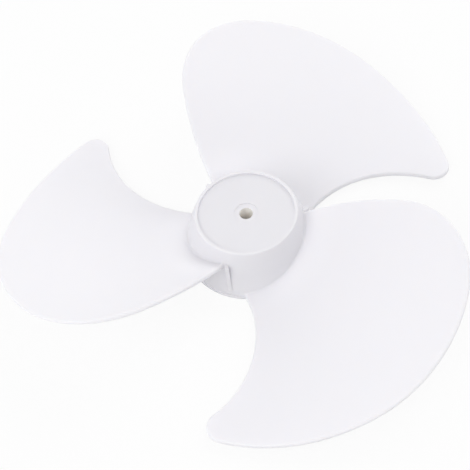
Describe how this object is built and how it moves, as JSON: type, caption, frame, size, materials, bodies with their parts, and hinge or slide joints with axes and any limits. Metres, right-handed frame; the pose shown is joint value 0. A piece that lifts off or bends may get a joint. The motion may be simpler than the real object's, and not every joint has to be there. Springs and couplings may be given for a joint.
{
  "type": "fan blade",
  "caption": "One-piece plastic fan impeller: broad twisted blades with hooked leading tips round a flaring hub cup, bored for a motor shaft with a cross-pin slot behind.",
  "frame": {"origin": "on the shaft axis, at the round nut seat in the front face, where the bore begins", "axes": "+Z along the shaft axis towards the front of the fan; the blade axes lie at 60, 180 and 300 degrees about +Z from +X"},
  "size_m": [0.2815, 0.2848, 0.0571],
  "materials": {
    "white_plastic": "smooth semi-gloss white moulding"
  },
  "bodies": {
    "root": {"fan_blade": "white_plastic"}
  },
  "joints": []
}
